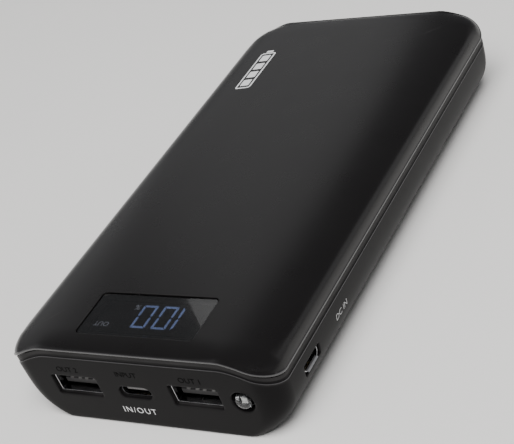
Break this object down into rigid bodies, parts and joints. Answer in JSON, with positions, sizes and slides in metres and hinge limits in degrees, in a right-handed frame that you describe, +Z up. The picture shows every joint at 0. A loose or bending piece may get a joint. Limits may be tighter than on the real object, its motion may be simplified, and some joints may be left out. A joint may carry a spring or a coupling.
{
  "type": "power bank",
  "caption": "Flat pocket power bank with a crowned cover, recessed seam, USB outputs, a USB-C port, a side charging port, a torch lamp and a smoked display window.",
  "frame": {"origin": "on the resting surface, under the middle of the body", "axes": "+X to the right when the ports are faced, +Y along the length away from the ports, +Z up"},
  "size_m": [0.0774, 0.1484, 0.0246],
  "materials": {
    "shell_plastic": "fine matte texture",
    "smoked_plastic": "polished smoked acrylic",
    "dark_plastic": "moulded",
    "white_plastic": "moulded",
    "clear_resin": "clear cast epoxy",
    "plated_steel": "nickel plated",
    "gold_plate": "gold plated",
    "tinned_copper": "tinned",
    "board_laminate": "solder mask",
    "pouch_foil": "laminated foil",
    "foam_black": "closed-cell foam",
    "adhesive_tape": "double-sided tape",
    "tab_nickel": "nickel strip",
    "red_silicone": "silicone insulation",
    "black_silicone": "silicone insulation",
    "ferrite_grey": "pressed powder",
    "chip_epoxy": "moulded epoxy",
    "capacitor_can": "drawn can",
    "flex_amber": "polyimide film"
  },
  "bodies": {
    "case": {"battery_wire_black": "black_silicone", "battery_wire_red": "red_silicone", "board_screw_1": "plated_steel", "board_screw_2": "plated_steel", "board_screw_3": "plated_steel", "board_screw_4": "plated_steel", "bottom_shell": "shell_plastic", "cell_adhesive": "adhesive_tape", "cell_foam": "foam_black", "cell_lower": "pouch_foil", "cell_tape": "adhesive_tape", "cell_upper": "pouch_foil", "charger_chip": "chip_epoxy", "controller_chip": "chip_epoxy", "display_board": "board_laminate", "display_flex": "flex_amber", "display_module": "dark_plastic", "display_screw_1": "plated_steel", "display_screw_2": "plated_steel", "display_window": "smoked_plastic", "flex_socket": "white_plastic", "input_capacitor": "capacitor_can", "input_inductor": "ferrite_grey", "main_board": "board_laminate", "micro_usb_shell": "plated_steel", "micro_usb_tongue": "dark_plastic", "negative_tab_lower": "tab_nickel", "negative_tab_upper": "tab_nickel", "output_capacitor": "capacitor_can", "output_inductor": "ferrite_grey", "positive_tab_lower": "tab_nickel", "positive_tab_upper": "tab_nickel", "switch_body": "dark_plastic", "thermistor_bead": "chip_epoxy", "thermistor_lead_1": "tinned_copper", "thermistor_lead_2": "tinned_copper", "top_cover": "shell_plastic", "torch_led": "clear_resin", "torch_led_anode": "tinned_copper", "torch_led_cathode": "tinned_copper", "usb_a_contact_1_1": "gold_plate", "usb_a_contact_1_2": "gold_plate", "usb_a_contact_1_3": "gold_plate", "usb_a_contact_1_4": "gold_plate", "usb_a_contact_2_1": "gold_plate", "usb_a_contact_2_2": "gold_plate", "usb_a_contact_2_3": "gold_plate", "usb_a_contact_2_4": "gold_plate", "usb_a_shell_1": "plated_steel", "usb_a_shell_2": "plated_steel", "usb_a_tongue_1": "dark_plastic", "usb_a_tongue_2": "dark_plastic", "usb_c_shell": "plated_steel", "usb_c_tongue": "dark_plastic"},
    "button": {"power_button": "shell_plastic", "switch_plunger": "white_plastic", "switch_dome": "plated_steel"}
  },
  "joints": [
    {"name": "power_button_press", "type": "slide", "parent": "case", "child": "button", "axis": [1, 0, 0], "range_m": [0, 0.0003], "stiffness_N_per_m": 400}
  ]
}
